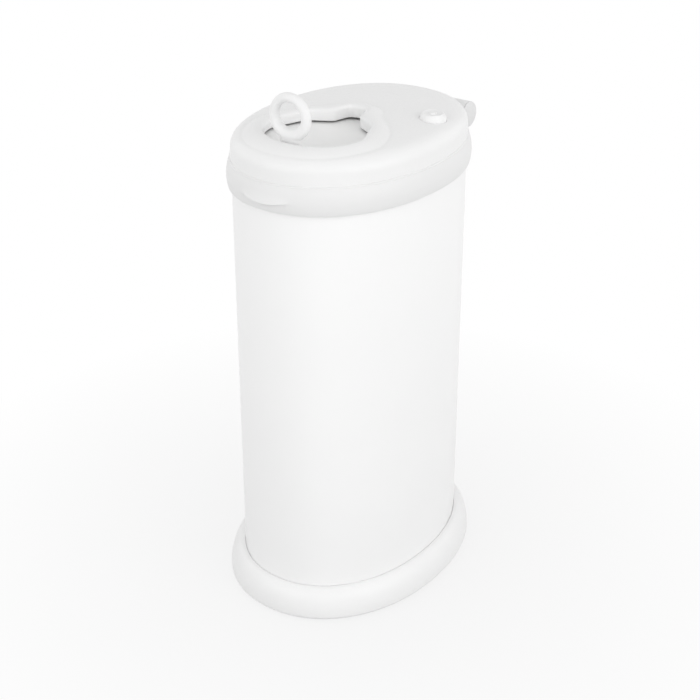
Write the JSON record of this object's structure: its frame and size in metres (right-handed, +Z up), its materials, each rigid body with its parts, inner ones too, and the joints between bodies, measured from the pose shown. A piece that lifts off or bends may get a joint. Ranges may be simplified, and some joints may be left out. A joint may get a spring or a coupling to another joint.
{
  "type": "nappy bin",
  "caption": "Tall oval nappy bin: white steel pail on a flared foot, hinged lid with a recessed sliding door, a ring handle and a child lock button.",
  "frame": {"origin": "on the floor under the middle of the bin", "axes": "+Z up, front (finger lip) towards -Y, +X to the right of the bin as seen from behind it"},
  "size_m": [0.2698, 0.3522, 0.6349],
  "materials": {
    "painted_steel": "satin white powder coat",
    "gloss_plastic": "polished white",
    "satin_plastic": "fine satin white",
    "rubber": "matt grey",
    "steel": "plated"
  },
  "bodies": {
    "bin": {"body_shell": "painted_steel", "base_foot": "gloss_plastic", "floor_pan": "satin_plastic", "foot_pad_1": "rubber", "foot_pad_2": "rubber", "foot_pad_3": "rubber", "foot_pad_4": "rubber", "base_screw_1": "steel", "base_screw_2": "steel", "base_screw_3": "steel", "base_screw_4": "steel", "collar": "gloss_plastic", "collar_screw_1": "steel", "collar_screw_2": "steel", "collar_screw_3": "steel", "collar_screw_4": "steel", "bag_ring": "satin_plastic", "hinge_pin": "steel", "hinge_cap_left": "gloss_plastic", "hinge_cap_right": "gloss_plastic"},
    "lid": {"lid_cover": "gloss_plastic", "lid_base": "satin_plastic", "lid_seal": "rubber", "throat_wiper": "rubber", "lid_screw_1": "steel", "lid_screw_2": "steel", "lid_screw_3": "steel", "lid_screw_4": "steel", "lid_screw_5": "steel", "lid_screw_6": "steel"},
    "slider": {"slide_door": "satin_plastic", "ring_handle": "gloss_plastic", "handle_screw_1": "steel", "handle_screw_2": "steel"},
    "lock": {"lock_button": "gloss_plastic", "lock_bar": "satin_plastic", "lock_spring": "steel"}
  },
  "joints": [
    {"name": "lid_hinge", "type": "hinge", "parent": "bin", "child": "lid", "pos_m": [0, 0.1602, 0.55], "axis": [-1, 0, 0], "range_deg": [0, 105]},
    {"name": "door_slide", "type": "slide", "parent": "lid", "child": "slider", "axis": [0, 1, 0], "range_m": [0, 0.115]},
    {"name": "lock_press", "type": "slide", "parent": "lid", "child": "lock", "axis": [0, 0, -1], "range_m": [0, 0.0026], "stiffness_N_per_m": 300, "springref_m": -0.003, "deforming": ["lock_spring"]}
  ]
}
